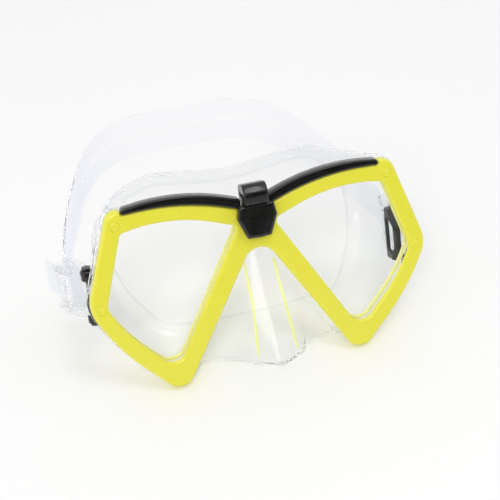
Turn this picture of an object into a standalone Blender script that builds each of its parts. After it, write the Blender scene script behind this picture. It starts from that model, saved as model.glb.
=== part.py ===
"""Snorkel mask: a two-lens dive mask with a soft clear skirt, a bridge clip and a split head strap.

The mask is modelled upright in its own frame: x to the wearer's left seen from the front, y back from
the front face, z up the lens plane. It then leans back on its skirt under the empty "mask_lean".
The right-hand pieces are modelled and the left-hand ones are mirrored copies. All sizes are millimetres.
"""

import math

import bmesh
import bpy
from mathutils import Matrix, Vector

MM = 0.001

# How the mask lies: lens plane leaning back, frame tips, skirt and strap on the floor.
LEAN = math.radians(23.3)
LEAN_HEIGHT = 56.95
FRONT_SHIFT = -64.45
FLOOR_CLEARANCE = 0.1

# Frame.
FRAME_DEPTH = 6.0
LIP_DEPTH = 2.0
LENS_THICK = 3.4
LENS_OVERLAP = 1.6
GAP = 0.3
FLANGE_FRONT = FRAME_DEPTH + GAP
SKIRT_WALL = 1.5
SEAL_WALL = 1.1
RETAINER_FRONT = FLANGE_FRONT + 2.1
RETAINER_DEPTH = 2.0
FRAME_PINS = {"upper": (68.4, 30.4), "lower": (80.8, -10.2)}
EAR_ROOTS = {"upper": (65.9, 26.7), "lower": (79.0, -10.0)}

# Outlines in the lens plane as sharp corners (x, z, radius), right half, clockwise seen from the front.
EYE_CORNERS = [
    (9.1, 18.2, 3.0),
    (42.2, 30.7, 78.0),
    (66.4, 26.0, 3.0),
    (78.1, -10.4, 8.5),
    (70.1, -26.5, 90.0),
    (48.3, -50.3, 7.0),
]
FRAME_HALF = [
    (0.0, 24.0, 14.0),
    (35.4, 36.6, 115.0),
    (64.3, 35.4, 0.5),
    (64.6, 37.6, 1.5),
    (71.6, 36.6, 6.0),
    (87.2, -9.7, 16.0),
    (75.5, -34.1, 120.0),
    (46.4, -64.9, 8.0),
    (0.0, 12.8, 8.3),
]
SKIRT_HALF = [
    (0.0, 24.4, 14.0),
    (35.6, 37.6, 115.0),
    (71.3, 36.2, 6.0),
    (86.7, -9.7, 16.0),
    (75.2, -33.7, 120.0),
    (45.4, -65.4, 10.0),
    (0.0, 10.6, 7.1),
]
TRIM_CORNERS = [
    (9.9, 27.9, 0.8),
    (35.4, 36.95, 115.0),
    (63.4, 35.8, 0.8),
    (63.4, 37.9, 1.2),
    (35.2, 41.4, 100.0),
    (9.9, 32.4, 0.8),
]
TRIM_DEPTH = (-0.6, 6.0)

# Bridge clip.
SHIELD_HALF = [(0.0, 29.3, 0.0), (8.8, 29.0, 1.5), (9.9, 22.3, 3.0), (6.0, 12.2, 1.2), (0.0, 11.8, 0.0)]
SHIELD_DEPTH = (-4.8, -GAP)
RIDGE_HEIGHTS = (22.2, 18.6, 15.2)
RIDGE_RADIUS = 0.75
HOOK_WIDTH = 12.0
HOOK_PROFILE = [
    (-6.2, 29.7, 0.8),
    (-6.6, 35.4, 3.0),
    (-3.2, 39.6, 3.5),
    (5.9, 37.6, 3.0),
    (6.0, 27.4, 0.8),
    (0.2, 27.4, 0.5),
    (0.0, 29.7, 0.3),
]
HOOK_SLOT = [(-2.6, 32.4, 0.9), (-2.6, 34.4, 0.9), (3.4, 34.4, 0.9), (3.4, 32.4, 0.9)]

# Temple lug, its pivot pin and the buckle that swivels on it. The pin runs up the lens plane.
PIVOT = Vector((82.0, 31.0, -14.5))
PIVOT_RADIUS = 1.5
BORE_RADIUS = 1.8
BUCKLE_SPLAY = math.radians(15.4)
BUCKLE_HALF_HEIGHT = 12.0
RAIL_INNER = 9.5
KNUCKLE_HALF = 9.2
KNUCKLE_RADIUS = 2.7
LUG_EAR = 3.6
ROLLER = (0.0, 17.0)
ROLLER_RADIUS = 3.0
RAIL_OUTLINE = [(-3.0, 5.4, 1.5), (-5.8, 10.5, 2.0), (-5.8, 29.0, 1.5), (0.0, 30.6, 3.0), (8.4, 28.0, 2.5),
                (8.4, 20.5, 3.0), (6.0, 10.5, 3.0), (3.0, 5.4, 1.5)]
WEB_OUTLINE = [(-2.8, 5.6, 1.0), (-5.6, 10.6, 0.6), (-5.6, 11.6, 0.3), (5.6, 11.6, 0.3), (5.5, 10.0, 0.6),
               (2.8, 5.6, 1.0)]
LOCK_AXLE = (6.3, 25.0)
LOCK_RADIUS = 1.2

# Strap: a flat moulded band. Centre line of the right half in plan, from the buckle to the back of the head,
# with the lower and upper edge heights, in floor coordinates measured from the mask's own origin.
STRAP_THICK = 1.6
STRAP_ROUTE = [
    (88.9, 62.9, 8.0, 25.0),
    (86.2, 74.0, 6.0, 25.6),
    (82.0, 89.0, 3.2, 26.6),
    (75.5, 108.0, 1.2, 28.2),
    (66.5, 131.0, 0.2, 29.6),
    (57.0, 147.0, 0.1, 30.0),
    (46.0, 157.5, 0.1, 30.0),
    (34.0, 163.0, 0.1, 30.0),
    (17.0, 165.3, 0.1, 30.0),
    (0.0, 165.6, 0.1, 30.0),
]
STRAP_SLOT = (14.0, 16.0)
STRAP_SLOT_REACH = 66.0

# Skirt wall: at each key fraction of the half outline, from the brow centre round to the nose arch,
# the points (x, y, z) the wall runs through behind the flange. The last two turn in as the face seal.
SKIRT_KEYS = [
    (0.0, [(0, 10.5, 26.5), (0, 14, 28), (0, 24, 30), (0, 38, 31), (0, 49, 31), (0, 52.2, 29.3), (0, 53, 24.5)]),
    (0.14, [(36, 10.5, 37.4), (36.5, 14, 38.2), (37.5, 24, 39), (39, 38, 38.7), (41, 50, 37), (41, 53.2, 35.2),
            (40.5, 54, 30.2)]),
    (0.275, [(70, 11, 35.4), (69.5, 14, 34.9), (67, 24, 33.5), (64, 38, 31.5), (60, 53, 29), (58.4, 56.2, 27.4),
             (54.6, 57.4, 24)]),
    (0.36, [(78.7, 11.5, 14), (78.2, 14.5, 14), (76.8, 24, 14), (75, 38, 14), (72, 58, 13), (69.9, 61, 12.6),
            (65, 62, 11.6)]),
    (0.455, [(85.0, 11.5, -9), (83.0, 15.5, -9.2), (78, 23, -9.6), (75.4, 36, -10), (73.2, 57, -11),
             (71.1, 60, -10.8), (66.4, 61, -10.2)]),
    (0.57, [(74.4, 11.5, -33), (73.4, 15, -32.4), (71.2, 24, -31), (68.8, 37, -29.2), (66.2, 47.5, -29.4),
            (65, 50.7, -27.8), (61.8, 52, -23.9)]),
    (0.705, [(47.5, 10, -56.0), (47.5, 13, -54.4), (47.9, 17, -52.8), (48.4, 23, -50.2), (49, 30, -47.7),
             (48.3, 33.2, -46), (47, 34.8, -41.2)]),
    (0.79, [(32, 8.5, -49.5), (31, 10, -52), (31, 13.5, -54.0), (31, 21, -50.9), (30.6, 29, -48),
            (30.4, 32.2, -46.3), (30, 33.8, -41.6)]),
    (0.87, [(19, 2, -31), (17.5, -1, -43), (18, 2, -51.5), (19, 15, -53.4), (20, 28, -48.5), (19.7, 31.2, -46.8),
            (19, 32.8, -42)]),
    (0.955, [(10, -5, -22), (12.5, -13.5, -45), (12.5, -12, -51.5), (11, 12, -54), (11, 27.5, -48.7),
             (10.7, 30.7, -47), (10, 32.2, -42.2)]),
    (1.0, [(0, -6.5, -22), (0, -17.5, -46), (0, -16, -52), (0, 12, -54.2), (0, 27, -48.9), (0, 30.2, -47.2),
           (0, 31.8, -42.4)]),
]
NOSE_START = 0.8
SKIRT_ROWS = 36
SKIRT_COLUMNS = 14
SEAL_COLUMNS = 4
WALL_END = 0.75
SEAL_START = 0.77


# ---------------------------------------------------------------------------------------------- tools


def clear_scene():
    for obj in list(bpy.data.objects):
        bpy.data.objects.remove(obj, do_unlink=True)


def new_collection(name, hidden=False):
    group = bpy.data.collections.new(name)
    bpy.context.scene.collection.children.link(group)
    group.hide_render = hidden
    return group


def material(name, colour, roughness, alpha=1.0, transmission=0.0):
    made = bpy.data.materials.new(name)
    made.use_nodes = True
    shader = made.node_tree.nodes["Principled BSDF"]
    shader.inputs["Base Color"].default_value = (*colour, 1.0)
    shader.inputs["Roughness"].default_value = roughness
    shader.inputs["Metallic"].default_value = 0.0
    shader.inputs["Alpha"].default_value = alpha
    shader.inputs["Transmission Weight"].default_value = transmission
    made.diffuse_color = (*colour, alpha)
    return made


def full_outline(half):
    """A half outline that starts and ends on x = 0, closed with its mirror image."""
    return half + [(-x, z, radius) for x, z, radius in reversed(half[1:-1])]


def shifted(corners, distance):
    """Sharp corners moved out by a distance (in when negative), with radii that keep the arcs parallel."""
    points = [Vector(corner[:2]) for corner in corners]
    area = sum(a.x * b.y - b.x * a.y for a, b in zip(points, points[1:] + points[:1]))
    outward = -1.0 if area > 0 else 1.0
    moved = []
    for i, radius in enumerate(corner[2] for corner in corners):
        before = (points[i] - points[i - 1]).normalized()
        after = (points[(i + 1) % len(points)] - points[i]).normalized()
        turn = before.x * after.y - before.y * after.x
        normal_a = Vector((-before.y, before.x)) * outward
        normal_b = Vector((-after.y, after.x)) * outward
        reach = (normal_a + normal_b) / (1.0 + normal_a.dot(normal_b))
        convex = turn * outward < 0
        point = points[i] + reach * distance
        moved.append((point.x, point.y, max(0.2, radius + (distance if convex else -distance))))
    return moved


def rounded(corners, step=math.radians(11), chord=9.0):
    """Points along the closed outline of sharp corners, with an arc of each corner's radius."""
    points = [Vector(corner[:2]) for corner in corners]
    outline = []
    for i, corner in enumerate(points):
        radius = corners[i][2]
        to_before = (points[i - 1] - corner).normalized()
        to_after = (points[(i + 1) % len(points)] - corner).normalized()
        opening = to_before.angle(to_after)
        if radius < 0.05 or math.pi - opening < 0.02:
            outline.append(corner)
            continue
        tangent = radius / math.tan(opening / 2)
        centre = corner + (to_before + to_after).normalized() * (radius / math.sin(opening / 2))
        start = corner + to_before * tangent - centre
        sweep = start.angle_signed(corner + to_after * tangent - centre)
        steps = max(2, round(abs(sweep) / step), round(abs(sweep) * radius / chord))
        for k in range(steps + 1):
            outline.append(centre + Matrix.Rotation(-sweep * k / steps, 2) @ start)
    return outline


def finish(obj, name, look, parent=None, group=None):
    obj.name = name
    obj.data.name = name
    obj.data.materials.clear()
    obj.data.materials.append(look)
    for owner in list(obj.users_collection):
        owner.objects.unlink(obj)
    group.objects.link(obj)
    obj.parent = parent
    return obj


def mesh_of(obj):
    """The evaluated shape of an object as a mesh with its loose caps welded and its faces turned out."""
    bpy.context.view_layer.update()
    graph = bpy.context.evaluated_depsgraph_get()
    mesh = bpy.data.meshes.new_from_object(obj.evaluated_get(graph))
    shape = bmesh.new()
    shape.from_mesh(mesh)
    bmesh.ops.remove_doubles(shape, verts=shape.verts, dist=0.004 * MM)
    bmesh.ops.recalc_face_normals(shape, faces=shape.faces)
    if shape.calc_volume(signed=True) < 0:
        bmesh.ops.reverse_faces(shape, faces=shape.faces)
    shape.to_mesh(mesh)
    shape.free()
    return mesh


def flat_solid(outlines, low, high, bevel=0.0, plane="lens"):
    """A flat outline with any holes, from low to high across its plane. "lens" outlines are (x, z) and run
    along y, "plan" outlines are (x, y) and run along z, and "side" outlines are (y, z) and run along x."""
    curve = bpy.data.curves.new("outline", "CURVE")
    curve.dimensions = "2D"
    curve.fill_mode = "BOTH"
    curve.extrude = ((high - low) / 2 - bevel) * MM
    curve.bevel_depth = bevel * MM
    curve.bevel_resolution = 0
    curve.offset = -bevel * MM
    for outline in outlines:
        spline = curve.splines.new("POLY")
        spline.points.add(len(outline) - 1)
        for point, place in zip(spline.points, outline):
            point.co = (place[0] * MM, place[1] * MM, 0.0, 1.0)
        spline.use_cyclic_u = True
    obj = bpy.data.objects.new("outline", curve)
    bpy.context.scene.collection.objects.link(obj)
    mesh = mesh_of(obj)
    bpy.data.objects.remove(obj, do_unlink=True)
    middle = (low + high) / 2 * MM
    place = {
        "lens": Matrix.Translation((0, middle, 0)) @ Matrix.Rotation(math.pi / 2, 4, "X"),
        "plan": Matrix.Translation((0, 0, middle)),
        "side": Matrix.Translation((middle, 0, 0))
        @ Matrix.Rotation(math.pi / 2, 4, "Z")
        @ Matrix.Rotation(math.pi / 2, 4, "X"),
    }[plane]
    mesh.transform(place)
    solid = bpy.data.objects.new("solid", mesh)
    bpy.context.scene.collection.objects.link(solid)
    return solid


def rod(centre, radius, low, high, axis="Z", sides=20):
    """A cylinder through centre along an axis of the mask's frame."""
    bpy.ops.mesh.primitive_cylinder_add(vertices=sides, radius=radius * MM, depth=(high - low) * MM)
    obj = bpy.context.object
    shift = Vector((0, 0, (low + high) / 2 * MM))
    turn = {"Z": Matrix(), "Y": Matrix.Rotation(-math.pi / 2, 4, "X")}[axis]
    obj.data.transform(Matrix.Translation(Vector(centre) * MM) @ turn @ Matrix.Translation(shift))
    return obj


def combine(obj, others, operation, cutters, overlapping=True):
    """One Boolean that joins pieces to obj, or cuts them from it, with the pieces kept as a hidden helper."""
    joined = bmesh.new()
    for other in others:
        joined.from_mesh(other.data)
        bpy.data.objects.remove(other, do_unlink=True)
    mesh = bpy.data.meshes.new(obj.name + "_helper")
    joined.to_mesh(mesh)
    joined.free()
    helper = bpy.data.objects.new(mesh.name, mesh)
    cutters.objects.link(helper)
    helper.parent = obj.parent
    helper.location = obj.location
    helper.hide_render = True
    helper.display_type = "WIRE"
    modifier = obj.modifiers.new(operation.lower(), "BOOLEAN")
    modifier.operation = operation
    modifier.solver = "EXACT"
    modifier.use_self = overlapping
    modifier.object = helper
    return obj


def left_copy(right, name, parent, group):
    """The mirror image of a right-hand piece, under its own parent."""
    mesh = mesh_of(right)
    mesh.transform(Matrix.Scale(-1, 4, (1, 0, 0)))
    mesh.flip_normals()
    obj = bpy.data.objects.new(name, mesh)
    group.objects.link(obj)
    obj.parent = parent
    obj.location = (-right.location.x, right.location.y, right.location.z)
    return obj


def empty(name, location, parent, group, turn=0.0):
    obj = bpy.data.objects.new(name, None)
    obj.empty_display_size = 0.01
    obj.location = Vector(location) * MM
    obj.rotation_euler = (0, 0, turn)
    group.objects.link(obj)
    obj.parent = parent
    return obj


# ----------------------------------------------------------------------------------------------- parts


def make_frame(looks, lean, group, cutters):
    eye = rounded(EYE_CORNERS)
    other_eye = [(-p[0], p[1]) for p in eye]
    frame = flat_solid([rounded(full_outline(FRAME_HALF)), eye, other_eye], 0.0, FRAME_DEPTH, 0.7)
    finish(frame, "front_frame", looks["yellow"], lean, group)
    pocket = flat_solid([rounded(shifted(EYE_CORNERS, LENS_OVERLAP + GAP))], LIP_DEPTH, FRAME_DEPTH + 3)
    other_pocket = flat_solid([[(-p.x, p.y) for p in rounded(shifted(EYE_CORNERS, LENS_OVERLAP + GAP))]],
                              LIP_DEPTH, FRAME_DEPTH + 3)
    bores = []
    for x, z in FRAME_PINS.values():
        for side in (1, -1):
            bores.append(rod((side * x, 0, z), 1.3, -3, 12, "Y", 16))
            bores.append(rod((side * x, 0, z), 2.5, -3, 1.2, "Y", 20))
    return combine(frame, [pocket, other_pocket, *bores], "DIFFERENCE", cutters)


def make_lens(looks, lean, group):
    front = LIP_DEPTH + GAP
    lens = flat_solid([rounded(shifted(EYE_CORNERS, LENS_OVERLAP))], front, front + LENS_THICK)
    finish(lens, "lens_right", looks["glass"], lean, group)
    left_copy(lens, "lens_left", lean, group)


def make_retainer(looks, lean, group, cutters):
    """The ring behind each lens, with an ear for each frame pin."""
    back = RETAINER_FRONT + RETAINER_DEPTH
    outlines = [rounded(shifted(EYE_CORNERS, 2.1)), rounded(shifted(EYE_CORNERS, 0.4))]
    ring = flat_solid(outlines, RETAINER_FRONT, back)
    finish(ring, "retainer_right", looks["yellow"], lean, group)
    for place, (x, z) in FRAME_PINS.items():
        pin, root = Vector((x, z)), Vector(EAR_ROOTS[place])
        across = (pin - root).normalized().orthogonal() * 1.6
        tab = flat_solid([[root - across, pin - across, pin + across, root + across]], RETAINER_FRONT + 0.2,
                         back - 0.2)
        ear = rod((x, 0, z), 2.0, RETAINER_FRONT + 0.1, back - 0.1, "Y")
        combine(ring, [tab, ear], "UNION", cutters)
    bores = [rod((x, 0, z), 1.3, RETAINER_FRONT - 2, back + 2, "Y", 16) for x, z in FRAME_PINS.values()]
    combine(ring, bores, "DIFFERENCE", cutters)
    left_copy(ring, "retainer_left", lean, group)


def make_frame_pins(looks, lean, group, cutters):
    for place, (x, z) in FRAME_PINS.items():
        pin = rod((x, 0, z), 2.2, -0.3, 0.9, "Y")
        finish(pin, f"frame_pin_{place}_right", looks["yellow"], lean, group)
        shaft = rod((x, 0, z), 1.0, 0.5, RETAINER_FRONT + RETAINER_DEPTH, "Y", 16)
        combine(pin, [shaft], "UNION", cutters)
        left_copy(pin, f"frame_pin_{place}_left", lean, group)


def along(points, distances, target):
    """The point at a distance along a polyline."""
    for a, b, start, end in zip(points, points[1:], distances, distances[1:]):
        if target <= end or b is points[-1]:
            return a.lerp(b, (target - start) / max(end - start, 1e-9))


def smooth_through(points, t):
    """A Catmull-Rom curve through evenly spaced points, t from 0 to 1."""
    last = len(points) - 1
    i = min(int(t * last), last - 1)
    u = t * last - i
    before = points[i - 1] if i else points[0] * 2 - points[1]
    after = points[i + 2] if i + 2 <= last else points[last] * 2 - points[last - 1]
    a, b = points[i], points[i + 1]
    return 0.5 * (
        2 * a + (b - before) * u + (2 * before - 5 * a + 4 * b - after) * u * u
        + (3 * a - before - 3 * b + after) * u * u * u
    )


def key_blend(keys, fraction):
    """The wall points at a fraction of the outline, eased between the key sections."""
    for (low, first), (high, second) in zip(keys, keys[1:]):
        if fraction <= high or high == 1.0:
            u = (fraction - low) / (high - low)
            u = u * u * (3 - 2 * u) * 0.5 + u * 0.5
            return [Vector(a).lerp(Vector(b), u) for a, b in zip(first, second)]


def above_floor(point):
    """The soft skirt flattens where it would dip under the floor that the mask leans on."""
    height = LEAN_HEIGHT + point.z * math.cos(LEAN) - point.y * math.sin(LEAN)
    return point + Vector((0, 0, max(0.0, FLOOR_CLEARANCE - height) / math.cos(LEAN)))


def right_half(outline):
    """The x >= 0 part of a mirrored outline, from where it crosses x = 0 at the top to the lower crossing."""
    ahead = outline[1:] + outline[:1]
    top = next(i for i, (a, b) in enumerate(zip(outline, ahead)) if a.x <= 0 < b.x)
    turned = outline[top:] + outline[:top]
    after = next(i for i, point in enumerate(turned[1:], 1) if point.x <= 0)
    half = turned[: after + 1]
    for end, inside in ((0, 1), (-1, -2)):
        a, b = half[end], half[inside]
        half[end] = a.lerp(b, -a.x / (b.x - a.x))
    return half


def soft_wall(name, shape, thickness, looks, lean, group):
    """A mirrored shell of even thickness from the right half of its outer face."""
    bmesh.ops.recalc_face_normals(shape, faces=shape.faces)
    mesh = bpy.data.meshes.new(name)
    shape.to_mesh(mesh)
    shape.free()
    shell = bpy.data.objects.new(name, mesh)
    bpy.context.scene.collection.objects.link(shell)
    finish(shell, name, looks["clear"], lean, group)
    mirror = shell.modifiers.new("mirror", "MIRROR")
    mirror.use_clip = True
    mirror.merge_threshold = 0.00001
    wall = shell.modifiers.new("wall", "SOLIDIFY")
    wall.thickness = thickness * MM
    wall.offset = -1.0
    wall.use_even_offset = False
    return shell


def skirt_face(half, distances, reaches):
    """The right half of the skirt's outer face between reaches, which run from the flange to the seal lip."""
    shape = bmesh.new()
    rows = []
    for i in range(SKIRT_ROWS + 1):
        fraction = i / SKIRT_ROWS
        edge = along(half, distances, fraction * distances[-1])
        flange = Vector((edge.x, FLANGE_FRONT, edge.y))
        keys = key_blend(SKIRT_KEYS, fraction)
        forward = min(1.0, max(0.0, (fraction - NOSE_START) / (1.0 - NOSE_START) * 2.5))
        straight_back = flange + Vector((0, 2.4, 0))
        route = [flange, straight_back.lerp(flange.lerp(keys[0], 0.5), forward), *keys]
        row = [above_floor(smooth_through(route, reach)) for reach in reaches]
        if i in (0, SKIRT_ROWS):
            for point in row:
                point.x = 0.0
        rows.append([shape.verts.new(point * MM) for point in row])
    for first, second in zip(rows, rows[1:]):
        for j in range(len(reaches) - 1):
            shape.faces.new((first[j], first[j + 1], second[j + 1], second[j]))
    return shape


def make_skirt(looks, lean, group, cutters):
    """The skirt wall with its flange, and the thin seal lip that turns in from the wall's rear edge."""
    half = right_half(rounded(full_outline(SKIRT_HALF), math.radians(6), 4.0))
    distances = [0.0]
    for a, b in zip(half, half[1:]):
        distances.append(distances[-1] + (b - a).length)
    wall_reaches = [WALL_END * j / SKIRT_COLUMNS for j in range(SKIRT_COLUMNS + 1)]
    lip_reaches = [SEAL_START + (1.0 - SEAL_START) * j / SEAL_COLUMNS for j in range(SEAL_COLUMNS + 1)]
    soft_wall("face_seal", skirt_face(half, distances, lip_reaches), SEAL_WALL, looks, lean, group)
    skirt = soft_wall("skirt", skirt_face(half, distances, wall_reaches), SKIRT_WALL, looks, lean, group)
    flange_edge = rounded(shifted(full_outline(SKIRT_HALF), -0.8))
    eye = rounded(shifted(EYE_CORNERS, 0.5))
    flange = flat_solid([flange_edge, eye, [(-p.x, p.y) for p in eye]], FLANGE_FRONT + 0.15, FLANGE_FRONT + 1.75)
    combine(skirt, [flange], "UNION", cutters, overlapping=False)
    bores = [rod((side * x, 0, z), 1.3, 2, 12, "Y", 16) for x, z in FRAME_PINS.values() for side in (1, -1)]
    return combine(skirt, bores, "DIFFERENCE", cutters, overlapping=False)


def make_brow_trim(looks, lean, group):
    trim = flat_solid([rounded(TRIM_CORNERS)], *TRIM_DEPTH, 0.5)
    finish(trim, "brow_trim_right", looks["black"], lean, group)
    left_copy(trim, "brow_trim_left", lean, group)


def ridge(height):
    """A smile-shaped bar across the shield."""
    curve = bpy.data.curves.new("ridge", "CURVE")
    curve.dimensions = "3D"
    curve.bevel_depth = RIDGE_RADIUS * MM
    curve.bevel_resolution = 2
    curve.use_fill_caps = True
    spline = curve.splines.new("POLY")
    steps = 8
    spline.points.add(steps)
    for k, point in enumerate(spline.points):
        x = -4.4 + 8.8 * k / steps
        point.co = (x * MM, (SHIELD_DEPTH[0] + 0.15) * MM, (height + 0.075 * x * x) * MM, 1.0)
    obj = bpy.data.objects.new("ridge", curve)
    bpy.context.scene.collection.objects.link(obj)
    mesh = mesh_of(obj)
    bpy.data.objects.remove(obj, do_unlink=True)
    solid = bpy.data.objects.new("ridge", mesh)
    bpy.context.scene.collection.objects.link(solid)
    return solid


def make_bridge(looks, lean, group, cutters):
    shield = flat_solid([rounded(full_outline(SHIELD_HALF))], *SHIELD_DEPTH, 0.5)
    finish(shield, "bridge_shield", looks["black"], lean, group)
    combine(shield, [ridge(height) for height in RIDGE_HEIGHTS], "UNION", cutters)
    hook = flat_solid([rounded(HOOK_PROFILE), rounded(HOOK_SLOT)], -HOOK_WIDTH / 2, HOOK_WIDTH / 2, 0.6, "side")
    return finish(hook, "bridge_hook", looks["black"], lean, group)


def make_lug(looks, lean, group, cutters):
    """A post on the skirt wall with two ears, and the pin through them."""
    low = PIVOT.z - BUCKLE_HALF_HEIGHT - 1.5
    high = PIVOT.z + BUCKLE_HALF_HEIGHT + 3.0
    post_outline = [(79.6, 22.6, 0.4), (81.6, 22.0, 0.6), (79.0, 28.4, 1.0), (79.0, 33.6, 0.6), (77.0, 33.6, 0.4),
                    (77.2, 28.0, 2.0)]
    lug = flat_solid([rounded(post_outline)], low, high, 0.0, "plan")
    finish(lug, "lug_right", looks["black"], lean, group)
    x, y = PIVOT.x, PIVOT.y
    arm = [(77.3, 26.6), (x, y - LUG_EAR + 0.1), (x, y + LUG_EAR - 0.1), (77.3, 33.3)]
    ears = []
    for bottom, top in ((low + 0.1, PIVOT.z - KNUCKLE_HALF - 0.4), (PIVOT.z + KNUCKLE_HALF + 0.4, high - 0.1)):
        ears.append(flat_solid([arm], bottom + 0.1, top - 0.1, 0.0, "plan"))
        ears.append(rod((x, y, 0), LUG_EAR, bottom, top, "Z", 24))
    combine(lug, ears, "UNION", cutters)
    centre = (PIVOT.x, PIVOT.y, 0)
    combine(lug, [rod(centre, BORE_RADIUS, low - 5, high + 5)], "DIFFERENCE", cutters)
    left_copy(lug, "lug_left", lean, group)

    pin = rod(centre, PIVOT_RADIUS, low - 0.8, high + 0.8)
    finish(pin, "pivot_pin_right", looks["black"], lean, group)
    heads = [rod(centre, 2.5, high + 0.3, high + 1.3), rod(centre, 2.5, low - 1.3, low - 0.3)]
    combine(pin, heads, "UNION", cutters)
    left_copy(pin, "pivot_pin_left", lean, group)


def make_buckle(looks, pivots, group, cutters):
    """Clear housing between the ears: a knuckle, a web, two rails and a rear bar, with bores for its axles."""
    half = BUCKLE_HALF_HEIGHT
    buckle = flat_solid([rounded(WEB_OUTLINE)], -half + 0.1, half - 0.1, 0.0, "plan")
    finish(buckle, "buckle_right", looks["plastic"], pivots["right"], group)
    rails = [flat_solid([rounded(RAIL_OUTLINE)], low, low + half - RAIL_INNER, 0.4, "plan")
             for low in (-half, RAIL_INNER)]
    knuckle = rod((0, 0, 0), KNUCKLE_RADIUS, -KNUCKLE_HALF, KNUCKLE_HALF)
    neck = flat_solid([[(-2.2, 1.0), (2.2, 1.0), (2.2, 7.0), (-2.2, 7.0)]], -KNUCKLE_HALF + 0.1,
                      KNUCKLE_HALF - 0.1, 0.0, "plan")
    rear_bar = flat_solid([[(-2.6, 26.4), (2.6, 26.4), (2.6, 29.2), (-2.6, 29.2)]], -half + 0.5, half - 0.5,
                          0.0, "plan")
    combine(buckle, [*rails, knuckle, neck, rear_bar], "UNION", cutters)
    bores = [
        rod((0, 0, 0), BORE_RADIUS, -half - 2, half + 2),
        rod((*ROLLER, 0), PIVOT_RADIUS + GAP, -half - 2, half + 2),
        rod((*LOCK_AXLE, 0), LOCK_RADIUS + GAP, -half - 2, half + 2, "Z", 16),
    ]
    combine(buckle, bores, "DIFFERENCE", cutters)
    left_copy(buckle, "buckle_left", pivots["left"], group)


def make_roller(looks, pivots, group, cutters):
    roller = rod((0, 0, 0), ROLLER_RADIUS, -RAIL_INNER + 0.4, RAIL_INNER - 0.4)
    finish(roller, "roller_right", looks["plastic"], pivots["right"], group)
    roller.location = (ROLLER[0] * MM, ROLLER[1] * MM, 0)
    axle = rod((0, 0, 0), PIVOT_RADIUS, -BUCKLE_HALF_HEIGHT + 0.2, BUCKLE_HALF_HEIGHT - 0.2)
    combine(roller, [axle], "UNION", cutters)
    left_copy(roller, "roller_left", pivots["left"], group)


def make_lock(looks, pivots, group, cutters):
    """The sprung lever that bites the strap, hung on its own axle between the rails."""
    arm = [(0.6, 1.6, 0.6), (-0.9, 1.4, 0.4), (-0.9, -3.0, 0.4), (-0.8, -11.0, 0.3), (1.6, -12.4, 0.6),
           (0.9, -9.0, 1.0), (1.2, 0.0, 0.5)]
    lock = flat_solid([rounded(arm)], -RAIL_INNER + 0.4, RAIL_INNER - 0.4, 0.0, "plan")
    finish(lock, "lock_right", looks["plastic"], pivots["right"], group)
    lock.location = (LOCK_AXLE[0] * MM, LOCK_AXLE[1] * MM, 0)
    axle = rod((0, 0, 0), LOCK_RADIUS, -BUCKLE_HALF_HEIGHT + 0.2, BUCKLE_HALF_HEIGHT - 0.2, "Z", 16)
    combine(lock, [axle], "UNION", cutters)
    left_copy(lock, "lock_left", pivots["left"], group)


def make_strap_end(looks, pivots, group):
    """The threaded end: in along the inner side, round the roller and back out as the tail."""
    inner = ROLLER_RADIUS + GAP
    outer = inner + STRAP_THICK
    x, y = ROLLER
    turn = [i * math.pi / 10 for i in range(11)]
    outside = [(x - outer * math.cos(a), y - outer * math.sin(a)) for a in turn]
    inside = [(x + inner * math.cos(a), y - inner * math.sin(a)) for a in turn]
    outline = [(-outer, 42.6), *outside, (outer, 47.5), (outer - 0.5, 48.0), (inner, 48.0), *inside, (-inner, 42.6)]
    end = flat_solid([outline], -RAIL_INNER + 0.4, RAIL_INNER - 0.4, 0.0, "plan")
    finish(end, "strap_end_right", looks["clear"], pivots["right"], group)
    left_copy(end, "strap_end_left", pivots["left"], group)


def make_head_strap(looks, base, group):
    """A band with one slot along the back, from buckle to buckle."""
    full_height = STRAP_ROUTE[-1][3]
    heights = [0.0, STRAP_SLOT[0] / full_height, STRAP_SLOT[1] / full_height, 1.0]
    shape = bmesh.new()
    route = [Vector(point) for point in STRAP_ROUTE]
    steps = 36
    rows = []
    for i in range(steps + 1):
        place = smooth_through(route, i / steps)
        if i == steps:
            place.x = 0.0
        lean = max(0.0, (place.x - STRAP_SLOT_REACH) / (STRAP_ROUTE[0][0] - STRAP_SLOT_REACH))
        tilt = math.tan(LEAN) * lean
        middle = (place.z + place.w) / 2
        row = []
        for h in heights:
            z = place.z + (place.w - place.z) * h
            row.append(shape.verts.new(Vector((place.x, place.y + tilt * (z - middle), z)) * MM))
        rows.append(row)
    for first, second in zip(rows, rows[1:]):
        for j in range(3):
            if j != 1 or first[0].co.x > STRAP_SLOT_REACH * MM:
                shape.faces.new((first[j], first[j + 1], second[j + 1], second[j]))
    bmesh.ops.recalc_face_normals(shape, faces=shape.faces)
    mesh = bpy.data.meshes.new("head_strap")
    shape.to_mesh(mesh)
    shape.free()
    strap = bpy.data.objects.new("head_strap", mesh)
    bpy.context.scene.collection.objects.link(strap)
    finish(strap, "head_strap", looks["clear"], base, group)
    mirror = strap.modifiers.new("mirror", "MIRROR")
    mirror.use_clip = True
    mirror.merge_threshold = 0.00001
    wall = strap.modifiers.new("wall", "SOLIDIFY")
    wall.thickness = STRAP_THICK * MM
    wall.offset = 0.0
    return strap


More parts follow.
